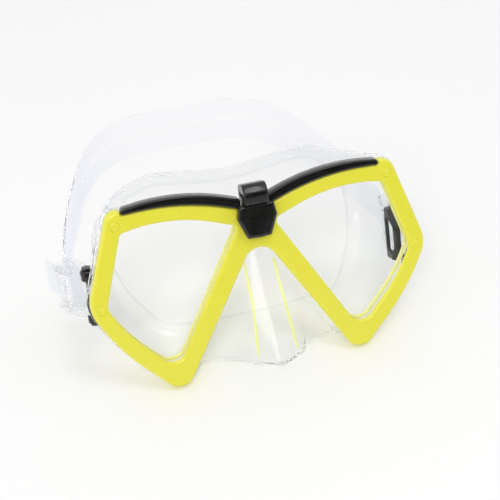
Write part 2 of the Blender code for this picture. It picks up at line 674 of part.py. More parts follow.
def main():
    clear_scene()
    group = new_collection("snorkel_mask")
    cutters = new_collection("cutters", hidden=True)
    looks = {
        "yellow": material("lemon_yellow", (0.80, 0.76, 0.05), 0.28),
        "black": material("gloss_black", (0.012, 0.012, 0.013), 0.22),
        "clear": material("clear_pvc", (0.92, 0.94, 0.95), 0.12, alpha=0.35, transmission=0.0),
        "plastic": material("clear_plastic", (0.93, 0.94, 0.94), 0.08, alpha=0.4, transmission=0.0),
        "glass": material("tempered_glass", (0.95, 0.97, 0.97), 0.02, alpha=0.2, transmission=0.0),
    }
    base = empty("mask_base", (0, FRONT_SHIFT, 0), None, group)
    lean = empty("mask_lean", (0, 0, LEAN_HEIGHT), base, group)
    lean.rotation_euler = (-LEAN, 0, 0)
    pivots = {
        "right": empty("buckle_pivot_right", PIVOT, lean, group, -BUCKLE_SPLAY),
        "left": empty("buckle_pivot_left", (-PIVOT.x, PIVOT.y, PIVOT.z), lean, group, BUCKLE_SPLAY),
    }
    make_frame(looks, lean, group, cutters)
    make_lens(looks, lean, group)
    make_retainer(looks, lean, group, cutters)
    make_frame_pins(looks, lean, group, cutters)
    make_skirt(looks, lean, group, cutters)
    make_brow_trim(looks, lean, group)
    make_bridge(looks, lean, group, cutters)
    make_lug(looks, lean, group, cutters)
    make_buckle(looks, pivots, group, cutters)
    make_roller(looks, pivots, group, cutters)
    make_lock(looks, pivots, group, cutters)
    make_strap_end(looks, pivots, group)
    make_head_strap(looks, base, group)


main()
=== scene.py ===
"""Snorkel mask, detailed: a lemon-yellow two-lens frame with black trim and bridge clip, clear soft skirt,
clear swivel buckles and a clear split strap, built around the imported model.

Shapes are worked out in millimetres in the mask's own frame (x to the side, y back from the front face,
z up the lens plane) and turned into the row frame by MASK.
"""

import math

import bmesh
import bpy
from mathutils import Matrix, Vector


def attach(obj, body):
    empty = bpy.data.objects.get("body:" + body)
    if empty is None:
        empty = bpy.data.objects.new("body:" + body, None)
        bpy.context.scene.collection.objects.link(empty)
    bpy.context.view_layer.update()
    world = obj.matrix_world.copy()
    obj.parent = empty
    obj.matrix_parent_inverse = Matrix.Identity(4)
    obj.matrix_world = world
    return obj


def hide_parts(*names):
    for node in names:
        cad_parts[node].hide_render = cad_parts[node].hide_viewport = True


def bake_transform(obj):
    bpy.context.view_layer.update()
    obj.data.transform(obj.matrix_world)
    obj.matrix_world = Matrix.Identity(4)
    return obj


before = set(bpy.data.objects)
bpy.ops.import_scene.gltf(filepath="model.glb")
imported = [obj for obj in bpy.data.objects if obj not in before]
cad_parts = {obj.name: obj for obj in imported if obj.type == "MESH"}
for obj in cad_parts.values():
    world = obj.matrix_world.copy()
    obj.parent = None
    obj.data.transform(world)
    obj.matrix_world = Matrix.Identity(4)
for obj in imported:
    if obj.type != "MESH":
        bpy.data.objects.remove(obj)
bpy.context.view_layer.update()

MM = 0.001

# ------------------------------------------------------------------------------ sizes, as in the CAD part

LEAN = math.radians(23.3)
LEAN_HEIGHT = 56.95
FRONT_SHIFT = -64.45
FLOOR_CLEARANCE = 0.1

FRAME_DEPTH = 6.0
LIP_DEPTH = 2.0
LENS_FRONT = 2.3
LENS_BACK = 5.7
FLANGE_FRONT = 6.3
FLANGE_BACK = 8.05
RETAINER_FRONT = 8.4
RETAINER_BACK = 10.4
FRAME_PINS = [(68.4, 30.4), (80.8, -10.2)]
EAR_ROOTS = [(65.9, 26.7), (79.0, -10.0)]

# Outlines are sharp corners with the radius that rounds each one: (x, z, radius) seen from the front, and
# (y, z, radius) for the hook, seen from the side. A half outline runs from x = 0 round to x = 0 again.
EYE_CORNERS = [
    (9.1, 18.2, 3.0),
    (42.2, 30.7, 78.0),
    (66.4, 26.0, 3.0),
    (78.1, -10.4, 8.5),
    (70.1, -26.5, 90.0),
    (48.3, -50.3, 7.0),
]
FRAME_HALF = [
    (0.0, 24.0, 14.0),
    (35.4, 36.6, 115.0),
    (64.3, 35.4, 0.5),
    (64.6, 37.6, 1.5),
    (71.6, 36.6, 6.0),
    (87.2, -9.7, 16.0),
    (75.5, -34.1, 120.0),
    (46.4, -64.9, 8.0),
    (0.0, 12.8, 8.3),
]
SKIRT_HALF = [
    (0.0, 24.4, 14.0),
    (35.6, 37.6, 115.0),
    (71.3, 36.2, 6.0),
    (86.7, -9.7, 16.0),
    (75.2, -33.7, 120.0),
    (45.4, -65.4, 10.0),
    (0.0, 10.6, 7.1),
]
TRIM_CORNERS = [
    (7.0, 26.9, 0.8),
    (35.4, 36.95, 115.0),
    (64.1, 35.6, 0.5),
    (64.1, 37.8, 1.4),
    (35.2, 41.4, 100.0),
    (7.0, 31.4, 0.8),
]
TRIM_FRONT = -0.6
SHIELD_HALF = [(0.0, 29.3, 0.0), (8.8, 29.0, 1.5), (9.9, 22.3, 3.0), (6.0, 12.2, 1.2), (0.0, 11.8, 0.0)]
SHIELD_FRONT = -4.8
SHIELD_BACK = -0.3
RIDGE_HEIGHTS = (22.2, 18.6, 15.2)
RIDGE_HALF_WIDTH = 4.6
RIDGE_GAP = 1.15
RIDGE_SAG = 0.075
HOOK_HALF_WIDTH = 6.0
HOOK_PROFILE = [
    (-6.2, 29.7, 0.8),
    (-6.6, 35.4, 3.0),
    (-3.2, 39.6, 3.5),
    (5.9, 37.6, 3.0),
    (6.0, 27.4, 0.8),
    (0.2, 27.4, 0.5),
    (0.0, 29.7, 0.3),
]
HOOK_SLOT = [(-2.6, 32.4, 0.9), (-2.6, 34.4, 0.9), (3.4, 34.4, 0.9), (3.4, 32.4, 0.9)]

PIVOT = Vector((82.0, 31.0, -14.5))
BUCKLE_SPLAY = math.radians(15.4)
BUCKLE_HALF_HEIGHT = 12.0
KNUCKLE_HALF = 9.2
EAR_PLAY = 0.4
ROLLER = Vector((0.0, 17.0))
ROLLER_RADIUS = 3.0
ROLLER_HALF = 9.1
LOCK_AXLE = Vector((6.3, 25.0))
LOCK_RIBS = 5
LOCK_RIB_STEP = 1.9
LOCK_RIB_RADIUS = 0.42

# The strap's route from the buckle to the back of the head, standing on the floor: x, y, and the heights
# of its lower and upper edges. Its slot ends where the route goes further out than SPLIT_REACH.
STRAP_WIDTH = 30.0
STRAP_THICK = 1.6
STRAP_SLOT = 2.0
STRAP_ROUTE = [
    (88.9, 62.9, 8.0, 25.0),
    (86.2, 74.0, 6.0, 25.6),
    (82.0, 89.0, 3.2, 26.6),
    (75.5, 108.0, 1.2, 28.2),
    (66.5, 131.0, 0.2, 29.6),
    (57.0, 147.0, 0.1, 30.0),
    (46.0, 157.5, 0.1, 30.0),
    (34.0, 163.0, 0.1, 30.0),
    (17.0, 165.3, 0.1, 30.0),
    (0.0, 165.6, 0.1, 30.0),
]
SPLIT_REACH = 66.0

# Skirt wall: at each key fraction of the half outline, from the brow centre round to the nose arch,
# the points (x, y, z) the wall runs through behind the flange. The last two turn in as the face seal.
SKIRT_KEYS = [
    (0.0, [(0, 10.5, 26.5), (0, 14, 28), (0, 24, 30), (0, 38, 31), (0, 49, 31),
           (0, 52.2, 29.3), (0, 53, 24.5)]),
    (0.14, [(36, 10.5, 37.4), (36.5, 14, 38.2), (37.5, 24, 39), (39, 38, 38.7), (41, 50, 37),
            (41, 53.2, 35.2), (40.5, 54, 30.2)]),
    (0.275, [(70, 11, 35.4), (69.5, 14, 34.9), (67, 24, 33.5), (64, 38, 31.5), (60, 53, 29),
             (58.4, 56.2, 27.4), (54.6, 57.4, 24)]),
    (0.36, [(78.7, 11.5, 14), (78.2, 14.5, 14), (76.8, 24, 14), (75, 38, 14), (72, 58, 13),
            (69.9, 61, 12.6), (65, 62, 11.6)]),
    (0.455, [(85.0, 11.5, -9), (83.0, 15.5, -9.2), (78, 23, -9.6), (75.4, 36, -10), (73.2, 57, -11),
             (71.1, 60, -10.8), (66.4, 61, -10.2)]),
    (0.57, [(74.4, 11.5, -33), (73.4, 15, -32.4), (71.2, 24, -31), (68.8, 37, -29.2), (66.2, 47.5, -29.4),
            (65, 50.7, -27.8), (61.8, 52, -23.9)]),
    (0.705, [(47.5, 10, -56.0), (47.5, 13, -54.4), (47.9, 17, -52.8), (48.4, 23, -50.2), (49, 30, -47.7),
             (48.3, 33.2, -46), (47, 34.8, -41.2)]),
    (0.79, [(32, 8.5, -49.5), (31, 10, -52), (31, 13.5, -54.0), (31, 21, -50.9), (30.6, 29, -48),
            (30.4, 32.2, -46.3), (30, 33.8, -41.6)]),
    (0.87, [(19, 2, -31), (17.5, -1, -43), (18, 2, -51.5), (19, 15, -53.4), (20, 28, -48.5),
            (19.7, 31.2, -46.8), (19, 32.8, -42)]),
    (0.955, [(9.6, -4.5, -22), (11.8, -10.5, -44.5), (11.8, -9, -49.8), (11, 12, -53.6),
             (11, 27.5, -48.7), (10.7, 30.7, -47), (10, 32.2, -42.2)]),
    (1.0, [(0, -6.5, -22), (0, -17.2, -45), (0, -15.5, -50.4), (0, 12, -53.8), (0, 27, -48.9),
           (0, 30.2, -47.2), (0, 31.8, -42.4)]),
]
# Where the nose pocket, its thick rim and its front corner come, as fractions of the half outline.
NOSE_START = 0.8
POCKET_RIM_START = 0.88
POCKET_CORNER = 0.965
# Wall thicknesses, and where they change on the way from the flange (0) to the seal lip (1).
WALL = 1.5
LIP_START = 0.8
LIP_THINNING = 0.75
LIP_BEAD = 0.9
POCKET_RIM = 1.0
POCKET_RIM_REACH = 0.41

# ------------------------------------------------------------------------------ the look: scene settings

CAMERA_PLACE = Vector((-0.13142, -0.47735, 0.47518))
CAMERA_AIM = Vector((0.00473, -0.03071, 0.03))
CAMERA_LENS = 88.56
STUDIO_FRONT = (0.1, -0.99, 0.1)
WORLD_STRENGTH = 0.835

# ------------------------------------------------------------------------------ places, in row metres

MASK = (
    Matrix.Translation((0.0, FRONT_SHIFT * MM, LEAN_HEIGHT * MM))
    @ Matrix.Rotation(-LEAN, 4, "X")
    @ Matrix.Scale(MM, 4)
)
FLOOR = Matrix.Translation((0.0, FRONT_SHIFT * MM, 0.0)) @ Matrix.Scale(MM, 4)
BUCKLE = MASK @ Matrix.Translation(PIVOT) @ Matrix.Rotation(-BUCKLE_SPLAY, 4, "Z")


def link(obj):
    bpy.context.scene.collection.objects.link(obj)
    return obj


# ------------------------------------------------------------------------------ materials

# The Mix node's colour sockets, by number because its other types share their names.
COLOUR_A = 6
COLOUR_B = 7
COLOUR_OUT = 2


class Nodes:
    """A material under construction: its node tree and its Principled shader."""

    def __init__(self, name, colour, roughness, **sockets):
        self.material = bpy.data.materials.new(name)
        self.material.use_nodes = True
        self.tree = self.material.node_tree
        self.shader = self.tree.nodes["Principled BSDF"]
        self.shader.inputs["Base Color"].default_value = (*colour, 1.0)
        self.shader.inputs["Roughness"].default_value = roughness
        for key, value in sockets.items():
            self.shader.inputs[key.replace("_", " ")].default_value = value
        coordinates = self.tree.nodes.new("ShaderNodeTexCoord")
        self.place = coordinates.outputs["Object"]

    def add(self, kind, **values):
        node = self.tree.nodes.new("ShaderNode" + kind)
        for key, value in values.items():
            if key in node.inputs:
                node.inputs[key].default_value = value
            else:
                setattr(node, key, value)
        return node

    def join(self, source, target):
        self.tree.links.new(source, target)

    def noise(self, scale, detail=2.0):
        """Noise with scale features to a metre of the object."""
        texture = self.add("TexNoise", Scale=scale, Detail=detail)
        self.join(self.place, texture.inputs["Vector"])
        return texture.outputs["Fac"]

    def ramp(self, source, low, high, start=0.0, end=1.0):
        """source from low..high mapped to start..end."""
        node = self.add("MapRange")
        for key, value in zip(("From Min", "From Max", "To Min", "To Max"), (low, high, start, end)):
            node.inputs[key].default_value = value
        self.join(source, node.inputs["Value"])
        return node.outputs["Result"]

    def tint(self, source, first, second):
        """Base colour between two colours as source goes from 0 to 1."""
        mix = self.add("Mix", data_type="RGBA")
        mix.inputs[COLOUR_A].default_value = (*first, 1.0)
        mix.inputs[COLOUR_B].default_value = (*second, 1.0)
        self.join(source, mix.inputs["Factor"])
        self.join(mix.outputs[COLOUR_OUT], self.shader.inputs["Base Color"])

    def paint_edge_shade(self, face_on, grazing, blend):
        """A clear colour that is palest face on and deepens where a wall is seen edge on: partly the
        plastic's own tint through a longer path, partly painted shade standing in for the dark rims that
        refraction gives.
        """
        layer = self.add("LayerWeight", Blend=blend)
        self.tint(layer.outputs["Facing"], face_on, grazing)

    def rough(self, source):
        self.join(source, self.shader.inputs["Roughness"])

    def pass_light(self, colour):
        """Lets lamps and the sky shine through, tinted, instead of casting the dark shadow of solid glass."""
        path = self.add("LightPath")
        see_through = self.add("BsdfTransparent")
        see_through.inputs["Color"].default_value = (*colour, 1.0)
        either = self.add("Math", operation="MAXIMUM")
        self.join(path.outputs["Is Shadow Ray"], either.inputs[0])
        self.join(path.outputs["Is Diffuse Ray"], either.inputs[1])
        mix = self.add("MixShader")
        self.join(either.outputs["Value"], mix.inputs[0])
        self.join(self.shader.outputs["BSDF"], mix.inputs[1])
        self.join(see_through.outputs["BSDF"], mix.inputs[2])
        self.join(mix.outputs["Shader"], self.tree.nodes["Material Output"].inputs["Surface"])

    def bump(self, source, height, strength):
        """Relief of a height in metres from a source."""
        node = self.add("Bump", Strength=strength, Distance=height)
        self.join(source, node.inputs["Height"])
        self.join(node.outputs["Normal"], self.shader.inputs["Normal"])


def yellow_look():
    yellow = Nodes("lemon_yellow_gloss", (0.81, 0.77, 0.05), 0.25, Coat_Weight=0.25, Coat_Roughness=0.12)
    patches = yellow.ramp(yellow.noise(60.0, 3.0), 0.35, 0.65)
    yellow.tint(patches, (0.838, 0.795, 0.053), (0.845, 0.805, 0.058))
    yellow.rough(yellow.ramp(yellow.noise(25.0), 0.3, 0.7, 0.25, 0.31))
    yellow.bump(yellow.noise(40.0, 1.0), 0.00002, 0.1)
    return yellow.material


def lit_yellow_look():
    # Paler than the frame's yellow: a lit copy of the yellow plastic, painted light for the bright lines
    # round the lens holes behind the glass.
    pale = Nodes("pale_yellow_painted_light", (0.9, 0.89, 0.4), 0.3, Coat_Weight=0.2)
    pale.tint(pale.ramp(pale.noise(90.0, 3.0), 0.35, 0.65), (0.88, 0.87, 0.34), (0.92, 0.91, 0.46))
    pale.bump(pale.noise(700.0), 0.00002, 0.1)
    return pale.material


def black_look():
    black = Nodes("black_gloss", (0.008, 0.008, 0.008), 0.16, Coat_Weight=0.25, Coat_Roughness=0.06,
                  Specular_IOR_Level=0.4)
    black.tint(black.ramp(black.noise(80.0, 4.0), 0.3, 0.7), (0.006, 0.006, 0.005), (0.012, 0.012, 0.011))
    black.rough(black.ramp(black.noise(300.0, 5.0), 0.3, 0.7, 0.14, 0.26))
    black.bump(black.noise(1400.0), 0.00002, 0.2)
    return black.material


def clear_look():
    clear = Nodes("clear_pvc_soft", (0.97, 0.975, 0.98), 0.03, Transmission_Weight=1.0, IOR=1.03,
                  Coat_Weight=0.25, Coat_Roughness=0.18)
    # Painted edge shade: greyer where the skirt wall is seen edge on, over its faint tint.
    clear.paint_edge_shade((0.996, 0.997, 0.998), (0.83, 0.845, 0.87), 0.2)
    clear.bump(clear.noise(45.0, 1.0), 0.0004, 0.08)
    clear.pass_light((0.985, 0.987, 0.99))
    return clear.material


def lip_shade_look():
    # Greyer than the skirt: painted shade along the seal lip's rounded edge, for the grey lines where the lip
    # is seen edge on.
    lip = Nodes("clear_lip_painted_shade", (0.9, 0.9, 0.9), 0.05, Transmission_Weight=1.0, IOR=1.03, Coat_Weight=0.2,
                Coat_Roughness=0.18)
    lip.tint(lip.ramp(lip.noise(60.0), 0.35, 0.65), (0.9, 0.905, 0.915), (0.94, 0.943, 0.95))
    lip.pass_light((0.97, 0.972, 0.975))
    return lip.material


def strap_look():
    strap = Nodes("clear_strap_pvc", (0.96, 0.968, 1.0), 0.03, Transmission_Weight=1.0, IOR=1.03,
                  Coat_Weight=0.25, Coat_Roughness=0.12)
    # Painted edge shade: bluer and darker where the strap is seen edge on, over its own blue tint.
    strap.paint_edge_shade((0.993, 0.994, 0.997), (0.6, 0.64, 0.87), 0.11)
    strap.bump(strap.noise(60.0, 1.0), 0.0003, 0.06)
    strap.pass_light((0.98, 0.983, 0.99))
    return strap.material


def leg_reflection_look():
    # Opaque bright yellow-green: painted reflection of the yellow frame leg seen in the nose pocket's wall.
    bead = Nodes("painted_leg_reflection", (0.93, 0.97, 0.4), 0.25, IOR=1.3)
    bead.tint(bead.ramp(bead.noise(150.0), 0.35, 0.65), (0.92, 0.96, 0.34), (0.95, 0.98, 0.44))
    return bead.material


def join_look():
    """Nothing to see: the face where the strap's two halves meet."""
    join = bpy.data.materials.new("clear_strap_join")
    join.use_nodes = True
    tree = join.node_tree
    tree.nodes.remove(tree.nodes["Principled BSDF"])
    see_through = tree.nodes.new("ShaderNodeBsdfTransparent")
    tree.links.new(see_through.outputs["BSDF"], tree.nodes["Material Output"].inputs["Surface"])
    return join


def plastic_look():
    plastic = Nodes("clear_hard_plastic", (0.96, 0.965, 0.97), 0.02, Transmission_Weight=1.0, IOR=1.05,
                    Coat_Weight=0.3, Coat_Roughness=0.05)
    # Painted edge shade: greyer where the buckle is seen edge on, over its faint tint.
    plastic.paint_edge_shade((0.985, 0.987, 0.988), (0.76, 0.77, 0.8), 0.16)
    plastic.bump(plastic.noise(120.0, 1.0), 0.0002, 0.05)
    plastic.pass_light((0.975, 0.978, 0.98))
    return plastic.material


def glass_look():
    glass = Nodes("lens_glass", (0.992, 1.0, 0.996), 0.0, Transmission_Weight=1.0, IOR=1.2)
    glass.bump(glass.noise(20.0, 1.0), 0.00005, 0.05)
    glass.pass_light((0.995, 0.998, 0.995))
    return glass.material


def floor_look():
    floor = Nodes("pale_floor", (0.93, 0.93, 0.935), 0.55)
    floor.tint(floor.ramp(floor.noise(3.0), 0.3, 0.7), (0.925, 0.925, 0.93), (0.935, 0.935, 0.94))
    return floor.material


# ------------------------------------------------------------------------------ outlines

ROUND_SIDES = 40


def full_outline(half):
    """A half outline that starts and ends on x = 0, closed with its mirror image."""
    return half + [(-x, z, radius) for x, z, radius in reversed(half[1:-1])]


def shifted(corners, distance):
    """Sharp corners moved out by a distance (in when negative), with radii that keep the arcs parallel."""
    points = [Vector(corner[:2]) for corner in corners]
    area = sum(a.x * b.y - b.x * a.y for a, b in zip(points, points[1:] + points[:1]))
    outward = -1.0 if area > 0 else 1.0
    moved = []
    for i, corner in enumerate(corners):
        before = (points[i] - points[i - 1]).normalized()
        after = (points[(i + 1) % len(points)] - points[i]).normalized()
        turn = before.x * after.y - before.y * after.x
        normal_a = Vector((-before.y, before.x)) * outward
        normal_b = Vector((-after.y, after.x)) * outward
        reach = (normal_a + normal_b) / (1.0 + normal_a.dot(normal_b))
        change = distance if turn * outward < 0 else -distance
        radius = 0.0 if corner[2] < 0.05 else max(0.06, corner[2] + change)
        moved.append((*(points[i] + reach * distance), radius))
    return moved


def arc_steps(corners):
    """How many steps each corner's arc takes, so that shifted copies of an outline match point for point."""
    step = math.radians(7)
    chord = 2.5
    points = [Vector(corner[:2]) for corner in corners]
    counts = []
    for i, corner in enumerate(corners):
        before = (points[i - 1] - points[i]).normalized()
        after = (points[(i + 1) % len(points)] - points[i]).normalized()
        sweep = math.pi - before.angle(after)
        if corner[2] < 0.05 or sweep < 0.02:
            counts.append(0)
        else:
            counts.append(max(3, round(sweep / step), round(sweep * corner[2] / chord)))
    return counts


def rounded(corners, counts=None):
    """Points along the closed outline of sharp corners, with an arc of each corner's radius."""
    counts = counts or arc_steps(corners)
    points = [Vector(corner[:2]) for corner in corners]
    outline = []
    for i, (corner, steps) in enumerate(zip(points, counts)):
        if not steps:
            outline.append(corner)
            continue
        radius = corners[i][2]
        to_before = (points[i - 1] - corner).normalized()
        to_after = (points[(i + 1) % len(points)] - corner).normalized()
        opening = to_before.angle(to_after)
        tangent = radius / math.tan(opening / 2)
        centre = corner + (to_before + to_after).normalized() * (radius / math.sin(opening / 2))
        start = corner + to_before * tangent - centre
        sweep = start.angle_signed(corner + to_after * tangent - centre)
        for k in range(steps + 1):
            outline.append(centre + Matrix.Rotation(-sweep * k / steps, 2) @ start)
    return outline


def circle(centre, radius, sides=ROUND_SIDES):
    turn = [2 * math.pi * k / sides for k in range(sides)]
    return [Vector(centre) + Vector((math.cos(a), math.sin(a))) * radius for a in turn]


# ------------------------------------------------------------------------------ meshes


def finish(shape, name, look, matrix, sharp=35.0):
    """A bmesh as a smooth-shaded object in the row frame, with hard edges where faces turn by more than
    sharp degrees."""
    bmesh.ops.remove_doubles(shape, verts=shape.verts, dist=0.0005)
    bmesh.ops.recalc_face_normals(shape, faces=shape.faces)
    limit = math.radians(sharp)
    for face in shape.faces:
        face.smooth = True
    for edge in shape.edges:
        if len(edge.link_faces) == 2 and edge.calc_face_angle(0.0) > limit:
            edge.smooth = False
    mesh = bpy.data.meshes.new(name)
    shape.to_mesh(mesh)
    shape.free()
    mesh.transform(matrix)
    mesh.materials.append(look)
    return link(bpy.data.objects.new(name, mesh))


def left_of(right, name):
    """The mirror image of a right-hand piece in the row frame."""
    mesh = right.data.copy()
    mesh.name = name
    mesh.transform(Matrix.Scale(-1, 4, (1, 0, 0)))
    mesh.flip_normals()
    return link(bpy.data.objects.new(name, mesh))


def ring_strip(shape, rings):
    """Quads between closed rings of points that match one to one. Returns the end rings' vertices."""
    made = [[shape.verts.new(point) for point in ring] for ring in rings]
    for first, second in zip(made, made[1:]):
        count = len(first)
        for k in range(count):
            shape.faces.new((first[k], first[(k + 1) % count], second[(k + 1) % count], second[k]))
    return made[0], made[-1]


def fill_between(shape, loops):
    """A flat face with holes between closed loops of vertices, with a hard edge round it."""
    edges = []
    for loop in loops:
        for k, vertex in enumerate(loop):
            following = loop[(k + 1) % len(loop)]
            edge = shape.edges.get((vertex, following)) or shape.edges.new((vertex, following))
            edges.append(edge)
    bmesh.ops.triangle_fill(shape, edges=edges, use_beauty=True)
    for edge in edges:
        edge.smooth = False


def flat_place(plane):
    """How an outline's (u, v) and its depth w turn into x, y, z."""
    return {
        "lens": lambda u, v, w: Vector((u, w, v)),
        "plan": lambda u, v, w: Vector((u, v, w)),
        "side": lambda u, v, w: Vector((w, u, v)),
    }[plane]


def slab(shape, outer, holes, low, high, low_edge, high_edge, hole_edge=None, plane="lens"):
    """A flat body with rounded rims. outer and holes are corner lists; low_edge and high_edge are rims as
    (inset, rise) pairs from the wall to the flat face; holes may have a rim of their own."""
    to_point = flat_place(plane)
    low_loops = []
    high_loops = []
    for index, corners in enumerate([outer, *holes]):
        side = -1.0 if index == 0 else 1.0
        counts = arc_steps(corners)
        rim_low = low_edge if index == 0 or hole_edge is None else hole_edge
        rim_high = high_edge if index == 0 or hole_edge is None else hole_edge
        levels = [(inset, low + rise) for inset, rise in reversed(rim_low)]
        levels += [(inset, high - rise) for inset, rise in rim_high]
        rings = []
        for inset, depth in levels:
            outline = rounded(shifted(corners, side * inset), counts)
            rings.append([to_point(p.x, p.y, depth) for p in outline])
        first, last = ring_strip(shape, rings)
        low_loops.append(first)
        high_loops.append(last)
    for loops in (low_loops, high_loops):
        fill_between(shape, loops)


def round_rim(radius, steps=4):
    """A quarter-round rim: (inset, rise) from the wall to the flat face."""
    turns = [math.pi / 2 * k / steps for k in range(steps + 1)]
    return [(radius * (1 - math.cos(a)), radius * (1 - math.sin(a))) for a in turns]


def lathe(shape, centre, axis, profile):
    """A turned body round an axis through centre. profile is (radius, height) pairs from end to end."""
    axis = Vector(axis).normalized()
    across = axis.orthogonal().normalized()
    other = axis.cross(across)
    rings = []
    for radius, height in profile:
        ring = []
        for k in range(ROUND_SIDES):
            a = 2 * math.pi * k / ROUND_SIDES
            spoke = across * math.cos(a) + other * math.sin(a)
            ring.append(Vector(centre) + axis * height + spoke * radius)
        rings.append(ring)
    first, last = ring_strip(shape, rings)
    for ring in (first, last):
        shape.faces.new(ring)


def tube(shape, path, radius, sides, squash=1.0):
    """A closed tube along a path, scaled by squash along y, with its ends drawn together."""
    normal = Vector((0, 1, 0))
    rings = []
    for k, point in enumerate(path):
        ahead = path[min(k + 1, len(path) - 1)] - path[max(k - 1, 0)]
        across = ahead.normalized().cross(normal).normalized()
        t = k / (len(path) - 1)
        swell = radius * math.sqrt(max(0.02, 1 - abs(2 * t - 1) ** 6))
        ring = []
        for side in range(sides):
            a = 2 * math.pi * side / sides
            ring.append(point + across * (swell * math.cos(a)) + normal * (swell * squash * math.sin(a)))
        rings.append(ring)
    first, last = ring_strip(shape, rings)
    shape.faces.new(first)
    shape.faces.new(last)


def smooth_through(points, t):
    """A Catmull-Rom curve through evenly spaced points, t from 0 to 1."""
    last = len(points) - 1
    i = min(int(t * last), last - 1)
    u = t * last - i
    before = points[i - 1] if i else points[0] * 2 - points[1]
    after = points[i + 2] if i + 2 <= last else points[last] * 2 - points[last - 1]
    a, b = points[i], points[i + 1]
    return 0.5 * (
        2 * a + (b - before) * u + (2 * before - 5 * a + 4 * b - after) * u * u
        + (3 * a - before - 3 * b + after) * u * u * u
    )


# ------------------------------------------------------------------------------ frame and lenses


def make_frame(look):
    """The front moulding: softly rounded outer rim, crisp lens holes, and a fine ring line round each pin."""
    shape = bmesh.new()
    outer = full_outline(FRAME_HALF)
    counts = arc_steps(outer)
    front_loops = []
    back_loops = []
    outer_rim = [(0.5, FRAME_DEPTH), (0.12, FRAME_DEPTH - 0.14), (0.0, FRAME_DEPTH - 0.5), (0.0, 1.7),
                 (0.15, 1.05), (0.5, 0.5), (1.05, 0.16), (1.6, 0.04), (2.2, 0.0)]
    rings = []
    for inset, depth in outer_rim:
        outline = rounded(shifted(outer, -inset - 0.12), counts)
        rings.append([Vector((p.x, depth, p.y)) for p in outline])
    first, last = ring_strip(shape, rings)
    back_loops.append(first)
    front_loops.append(last)
    hole_rim = [(1.9, FRAME_DEPTH), (1.9, LIP_DEPTH), (0.0, LIP_DEPTH), (0.0, 0.9), (0.15, 0.5),
                (0.5, 0.18), (1.1, 0.0)]
    hole_counts = arc_steps(EYE_CORNERS)
    for side in (1, -1):
        rings = []
        for inset, depth in hole_rim:
            outline = rounded(shifted(EYE_CORNERS, inset), hole_counts)
            rings.append([Vector((side * p.x, depth, p.y)) for p in outline])
        first, last = ring_strip(shape, rings)
        back_loops.append(first)
        front_loops.append(last)
        for x, z in FRAME_PINS:
            rings = []
            for radius, depth in ((2.42, 0.0), (2.39, 0.06), (2.38, 0.5)):
                rings.append([Vector((p.x, depth, p.y)) for p in circle((side * x, z), radius)])
            first, last = ring_strip(shape, rings)
            front_loops.append(first)
            shape.faces.new(last)
    for loops in (front_loops, back_loops):
        fill_between(shape, loops)
    obj = finish(shape, "frame_moulding", look, MASK)
    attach(obj, "mask")
    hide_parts("front_frame")


def make_pins(look):
    """The pins through the frame: a dished head in front and a stem back to the retainer's ear."""
    on_axis = 0.0001
    profile = [(on_axis, -0.1), (1.3, -0.1), (1.55, -0.16), (1.8, -0.28), (2.05, -0.28), (2.24, -0.12),
               (2.34, 0.04), (2.34, 0.45), (1.0, 0.45), (1.0, RETAINER_BACK - 0.2), (0.8, RETAINER_BACK),
               (on_axis, RETAINER_BACK)]
    for name, (x, z) in zip(("upper", "lower"), FRAME_PINS):
        shape = bmesh.new()
        lathe(shape, (x, 0, z), (0, 1, 0), profile)
        right = finish(shape, f"pin_{name}_right", look, MASK)
        left = left_of(right, f"pin_{name}_left")
        for obj, side in ((right, "right"), (left, "left")):
            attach(obj, "mask")
            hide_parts(f"frame_pin_{name}_{side}")


def make_lens(look):
    """Flat tempered lenses with chamfered rims."""
    shape = bmesh.new()
    corners = shifted(EYE_CORNERS, 1.6)
    rim = [(0.0, 0.35), (0.35, 0.0)]
    slab(shape, corners, [], LENS_FRONT, LENS_BACK, rim, rim)
    right = finish(shape, "glass_right", look, MASK, 25.0)
    left = left_of(right, "glass_left")
    for obj, side in ((right, "right"), (left, "left")):
        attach(obj, "mask")
        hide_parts(f"lens_{side}")


def make_retainer(look):
    """The ring behind each lens, with two ears that end in an eye round a frame pin."""
    shape = bmesh.new()
    slab(shape, shifted(EYE_CORNERS, 2.1), [shifted(EYE_CORNERS, 0.4)], RETAINER_FRONT, RETAINER_BACK,
         round_rim(0.3, 2), round_rim(0.5, 3))
    for (x, z), root in zip(FRAME_PINS, EAR_ROOTS):
        pin, root = Vector((x, z)), Vector(root)
        across = (pin - root).normalized().orthogonal() * 1.5
        corners = [(*point, 0.0) for point in (root - across, pin - across, pin + across, root + across)]
        slab(shape, corners, [], RETAINER_FRONT + 0.25, RETAINER_BACK - 0.25, [(0, 0)], [(0, 0)])
        eye = [(1.3, 0.1), (1.9, 0.1), (2.0, 0.25), (2.0, 1.75), (1.9, 1.9), (1.3, 1.9), (1.3, 0.1)]
        rings = []
        for radius, depth in eye:
            rings.append([Vector((p.x, RETAINER_FRONT + depth, p.y)) for p in circle((x, z), radius, 28)])
        ring_strip(shape, rings)
    right = finish(shape, "lens_ring_right", look, MASK)
    left = left_of(right, "lens_ring_left")
    for obj, side in ((right, "right"), (left, "left")):
        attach(obj, "mask")
        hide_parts(f"retainer_{side}")


# ------------------------------------------------------------------------------ black trim and clip


def make_trim(look):
    """The brow bars, with a fine line sunk round their front."""
    shape = bmesh.new()
    front = [(0.0, 0.9), (0.08, 0.5), (0.3, 0.2), (0.62, 0.04), (0.95, 0.0), (1.3, 0.0), (1.38, 0.22),
             (1.6, 0.22), (1.68, 0.0)]
    back = [(0.0, 1.0), (0.3, 0.3), (1.0, 0.0)]
    slab(shape, shifted(TRIM_CORNERS, 0.3), [], TRIM_FRONT, FRAME_DEPTH, front, back)
    right = finish(shape, "brow_bar_right", look, MASK)
    left = left_of(right, "brow_bar_left")
    for obj, side in ((right, "right"), (left, "left")):
        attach(obj, "mask")
        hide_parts(f"brow_trim_{side}")


